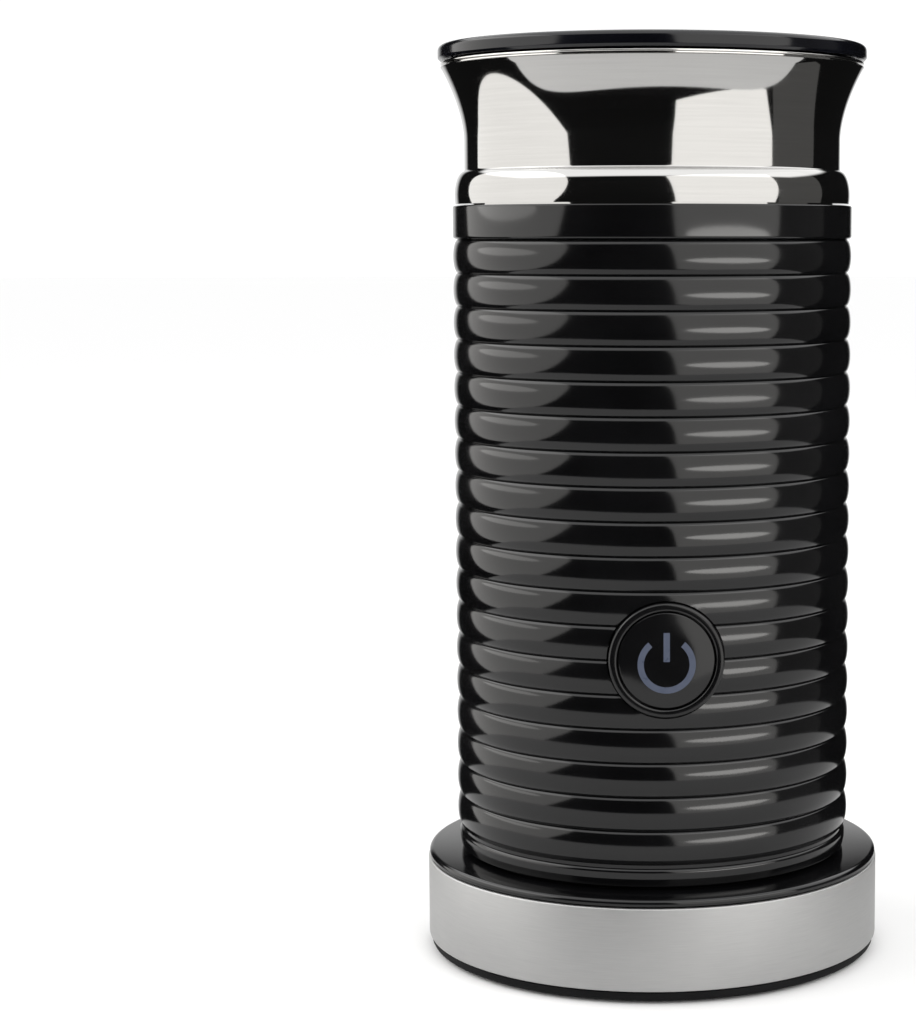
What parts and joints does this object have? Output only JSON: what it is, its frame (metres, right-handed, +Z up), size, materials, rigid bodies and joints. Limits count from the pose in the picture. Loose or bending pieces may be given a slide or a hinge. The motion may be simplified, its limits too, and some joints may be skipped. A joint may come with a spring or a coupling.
{
  "type": "milk frother",
  "caption": "Ribbed round jug with a flared steel mouth, magnetic whisk, heater and lid, on a cordless round base with a brushed band.",
  "frame": {"origin": "on the table, under the middle of the base", "axes": "+Z up along the jug's axis, -Y out of the button, +X to the right of someone who faces the button"},
  "size_m": [0.088, 0.088, 0.1741],
  "materials": {
    "gloss_black": "high gloss",
    "satin_black": "satin",
    "lid_plastic": "high gloss",
    "polished_steel": "mirror polished",
    "brushed_band": "brushed round the band",
    "coated_steel": "dark non-stick coating",
    "screw_steel": "zinc plated",
    "silicone": "matt",
    "brass": "bare",
    "bronze": "sintered and wound copper",
    "aluminium": "die cast",
    "magnet": "sintered",
    "whisk_plastic": "satin",
    "light_guide": "frosted",
    "white_plastic": "satin",
    "board_green": "solder mask",
    "red_plastic": "silicone sleeve",
    "blue_plastic": "moulded"
  },
  "bodies": {
    "base": {"base_plinth": "satin_black", "foot_1": "silicone", "foot_2": "silicone", "foot_3": "silicone", "base_screw_1": "screw_steel", "base_screw_2": "screw_steel", "base_screw_3": "screw_steel", "base_band": "brushed_band", "base_cover": "gloss_black", "cord_inlet": "silicone", "base_connector": "satin_black", "live_contact": "brass", "neutral_contact": "brass", "earth_contact": "brass"},
    "connector": {"jug_socket": "satin_black", "live_blade": "brass", "neutral_blade": "brass", "earth_pin": "brass"},
    "jug": {"bottom_housing": "satin_black", "housing_screw_1": "screw_steel", "housing_screw_2": "screw_steel", "housing_screw_3": "screw_steel", "ribbed_sleeve": "gloss_black", "steel_collar": "polished_steel", "inner_pot": "coated_steel", "motor_can": "aluminium", "motor_end_cap": "satin_black", "upper_bearing": "bronze", "lower_bearing": "bronze", "stator_magnet": "magnet", "motor_bracket": "aluminium", "heater_plate": "aluminium", "heater_element": "coated_steel", "temperature_sensor": "white_plastic", "button_bezel": "gloss_black", "switch_body": "satin_black", "control_board": "board_green", "indicator_led": "white_plastic", "relay": "blue_plastic", "controller_chip": "satin_black", "capacitor": "satin_black", "motor_lead_positive": "red_plastic", "motor_lead_negative": "blue_plastic", "heater_lead_live": "red_plastic", "heater_lead_neutral": "blue_plastic"},
    "rotor": {"motor_shaft": "polished_steel", "rotor_core": "bronze", "drive_carrier": "white_plastic", "drive_magnet_1": "magnet", "drive_magnet_2": "magnet"},
    "whisk_foot": {"whisk_spindle": "polished_steel"},
    "whisk": {"whisk_wheel": "whisk_plastic", "whisk_magnet": "magnet"},
    "coil": {"froth_coil": "polished_steel"},
    "lid": {"lid_cover": "lid_plastic", "lid_base": "satin_black", "lid_seal": "silicone"},
    "button": {"button_cap": "gloss_black", "button_symbol": "light_guide"},
    "plunger": {"switch_plunger": "white_plastic"}
  },
  "joints": [
    {"name": "jug_lift", "type": "slide", "parent": "base", "child": "connector", "axis": [0, 0, 1], "range_m": [0, 0.15]},
    {"name": "jug_turn", "type": "hinge", "parent": "connector", "child": "jug", "pos_m": [0, 0, 0.02], "axis": [0, 0, 1], "continuous": true},
    {"name": "motor_spin", "type": "hinge", "parent": "jug", "child": "rotor", "pos_m": [0, 0, 0.0476], "axis": [0, 0, 1], "continuous": true},
    {"name": "whisk_lift", "type": "slide", "parent": "jug", "child": "whisk_foot", "axis": [0, 0, 1], "range_m": [0, 0.07]},
    {"name": "whisk_spin", "type": "hinge", "parent": "whisk_foot", "child": "whisk", "pos_m": [0, 0, 0.0739], "axis": [0, 0, 1], "continuous": true},
    {"name": "coil_lift", "type": "slide", "parent": "whisk", "child": "coil", "axis": [0, 0, 1], "range_m": [0, 0.04]},
    {"name": "lid_lift", "type": "slide", "parent": "jug", "child": "lid", "axis": [0, 0, 1], "range_m": [0, 0.12]},
    {"name": "button_press", "type": "slide", "parent": "jug", "child": "button", "axis": [0, 1, 0], "range_m": [0, 0.0006], "stiffness_N_per_m": 2000},
    {"name": "plunger_press", "type": "slide", "parent": "jug", "child": "plunger", "axis": [0, 1, 0], "range_m": [0, 0.0006], "stiffness_N_per_m": 200}
  ],
  "couplings": [
    {"joint": "whisk_spin", "follows": "motor_spin", "ratio": 1},
    {"joint": "plunger_press", "follows": "button_press", "ratio": 1}
  ]
}
